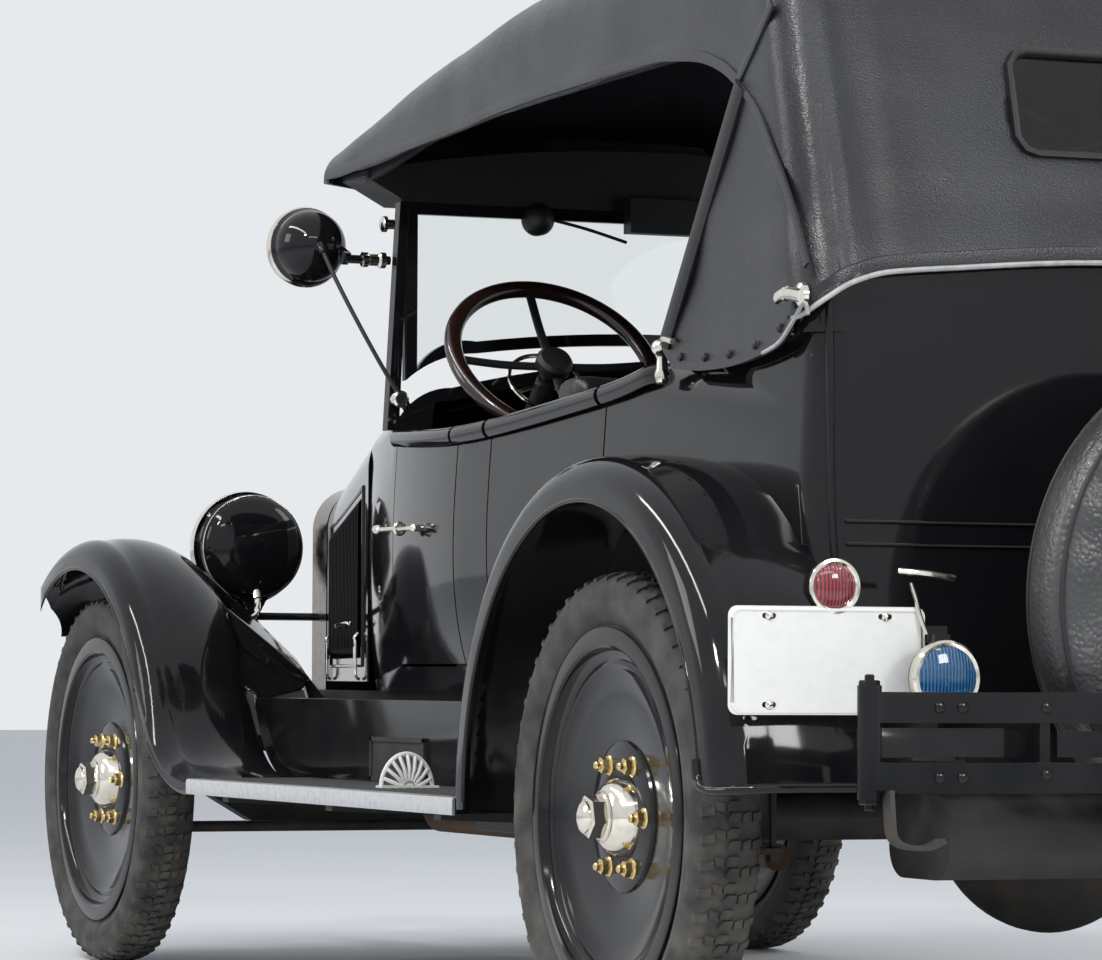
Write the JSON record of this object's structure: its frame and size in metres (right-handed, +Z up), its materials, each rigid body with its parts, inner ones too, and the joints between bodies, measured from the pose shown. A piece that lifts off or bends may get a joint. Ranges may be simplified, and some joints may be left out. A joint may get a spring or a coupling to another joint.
{
  "type": "touring car",
  "caption": "Open 1920s touring car with its fabric top raised, steered disc wheels, opening doors and hood, bumpers and a covered spare wheel.",
  "frame": {"origin": "on the ground at the middle of the length and width", "axes": "+Z up, front towards -Y, the car's left-hand side towards +X"},
  "size_m": [1.616, 3.9599, 1.8142],
  "materials": {
    "body_enamel": "gloss black enamel",
    "fender_enamel": "gloss black enamel",
    "chassis_black": "dusty black paint",
    "lamp_black": "gloss black with bright rims",
    "wheel_enamel": "gloss black enamel",
    "plate_white": "white enamel, blank",
    "spring_steel": "oiled dark steel",
    "axle_iron": "painted iron, dusty",
    "engine_iron": "plain casting",
    "pipe_steel": "rusted steel pipe",
    "nickel": "bright plate",
    "nickel_frame": "black enamel frame",
    "core_brass": "blackened brass core",
    "clear_glass": "clear pane",
    "rim_wood": "varnished brown",
    "bow_wood": "varnished ash",
    "seat_leather": "black, pleated",
    "top_cloth": "grained leatherette",
    "cover_leatherette": "coarse-grained leatherette",
    "cable_black": "braided lead",
    "tyre": "dusty rubber"
  },
  "bodies": {
    "chassis": {"frame_rails": "chassis_black", "leaf_springs": "spring_steel", "front_axle": "chassis_black", "rear_axle": "axle_iron", "engine_block": "engine_iron", "exhaust": "pipe_steel", "fuel_tank": "chassis_black", "radiator_shell": "nickel", "radiator_core": "core_brass", "body_tub": "body_enamel", "windshield_frame": "nickel_frame", "windshield_glass": "clear_glass", "steering_column": "chassis_black", "front_fenders": "fender_enamel", "rear_fenders": "fender_enamel", "running_boards": "fender_enamel", "front_seat": "seat_leather", "rear_seat": "seat_leather", "top_canopy": "top_cloth", "top_bows": "bow_wood", "front_bumper": "nickel", "rear_bumper": "nickel", "headlamps": "lamp_black", "rear_lamps": "nickel", "number_plate": "plate_white", "spot_lamp": "lamp_black", "spot_lamp_cable": "cable_black", "spare_carrier": "chassis_black", "spare_wheel": "cover_leatherette"},
    "knuckle_left": {"knuckle_left": "axle_iron"},
    "knuckle_right": {"knuckle_right": "axle_iron"},
    "tie_rod": {"tie_rod": "axle_iron"},
    "steering_wheel": {"steering_wheel": "rim_wood"},
    "hood_left": {"hood_left": "body_enamel"},
    "hood_right": {"hood_right": "body_enamel"},
    "door_front_left": {"door_front_left": "body_enamel"},
    "door_front_right": {"door_front_right": "body_enamel"},
    "door_rear_left": {"door_rear_left": "body_enamel"},
    "door_rear_right": {"door_rear_right": "body_enamel"},
    "wheel_front_left": {"wheel_front_left": "wheel_enamel", "tyre_front_left": "tyre"},
    "wheel_front_right": {"wheel_front_right": "wheel_enamel", "tyre_front_right": "tyre"},
    "wheel_rear_left": {"wheel_rear_left": "wheel_enamel", "tyre_rear_left": "tyre"},
    "wheel_rear_right": {"wheel_rear_right": "wheel_enamel", "tyre_rear_right": "tyre"}
  },
  "joints": [
    {"name": "steer_left", "type": "hinge", "parent": "chassis", "child": "knuckle_left", "pos_m": [0.635, -1.438, 0.3685], "axis": [0, 0, 1], "range_deg": [-30, 30]},
    {"name": "steer_right", "type": "hinge", "parent": "chassis", "child": "knuckle_right", "pos_m": [-0.635, -1.438, 0.3685], "axis": [0, 0, 1], "range_deg": [-30, 30]},
    {"name": "tie_rod_pivot", "type": "hinge", "parent": "knuckle_left", "child": "tie_rod", "pos_m": [0.635, -1.268, 0.2765], "axis": [0, 0, 1], "range_deg": [-30, 30]},
    {"name": "steering_wheel_turn", "type": "hinge", "parent": "chassis", "child": "steering_wheel", "pos_m": [0.305, -0.115, 1.144], "axis": [0, 0.7431, 0.6691], "range_deg": [-360, 360]},
    {"name": "wheel_front_left_spin", "type": "hinge", "parent": "knuckle_left", "child": "wheel_front_left", "pos_m": [0.711, -1.438, 0.3685], "axis": [1, 0, 0], "continuous": true},
    {"name": "wheel_front_right_spin", "type": "hinge", "parent": "knuckle_right", "child": "wheel_front_right", "pos_m": [-0.711, -1.438, 0.3685], "axis": [1, 0, 0], "continuous": true},
    {"name": "wheel_rear_left_spin", "type": "hinge", "parent": "chassis", "child": "wheel_rear_left", "pos_m": [0.711, 1.178, 0.3685], "axis": [1, 0, 0], "continuous": true},
    {"name": "wheel_rear_right_spin", "type": "hinge", "parent": "chassis", "child": "wheel_rear_right", "pos_m": [-0.711, 1.178, 0.3685], "axis": [1, 0, 0], "continuous": true},
    {"name": "door_front_left_hinge", "type": "hinge", "parent": "chassis", "child": "door_front_left", "pos_m": [0.549, -0.28, 0.8], "axis": [0, 0, -1], "range_deg": [0, 70]},
    {"name": "door_front_right_hinge", "type": "hinge", "parent": "chassis", "child": "door_front_right", "pos_m": [-0.549, -0.28, 0.8], "axis": [0, 0, 1], "range_deg": [0, 70]},
    {"name": "door_rear_left_hinge", "type": "hinge", "parent": "chassis", "child": "door_rear_left", "pos_m": [0.601, 0.3, 0.8], "axis": [0, 0, -1], "range_deg": [0, 70]},
    {"name": "door_rear_right_hinge", "type": "hinge", "parent": "chassis", "child": "door_rear_right", "pos_m": [-0.601, 0.3, 0.8], "axis": [0, 0, 1], "range_deg": [0, 70]},
    {"name": "hood_left_hinge", "type": "hinge", "parent": "chassis", "child": "hood_left", "pos_m": [0, -1.03, 1.0685], "axis": [0, -0.9933, -0.1154], "range_deg": [0, 70]},
    {"name": "hood_right_hinge", "type": "hinge", "parent": "chassis", "child": "hood_right", "pos_m": [0, -1.03, 1.0685], "axis": [0, 0.9933, 0.1154], "range_deg": [0, 70]}
  ],
  "couplings": [
    {"joint": "steer_right", "follows": "steer_left", "ratio": 1},
    {"joint": "tie_rod_pivot", "follows": "steer_left", "ratio": -1},
    {"joint": "steering_wheel_turn", "follows": "steer_left", "ratio": 12}
  ]
}
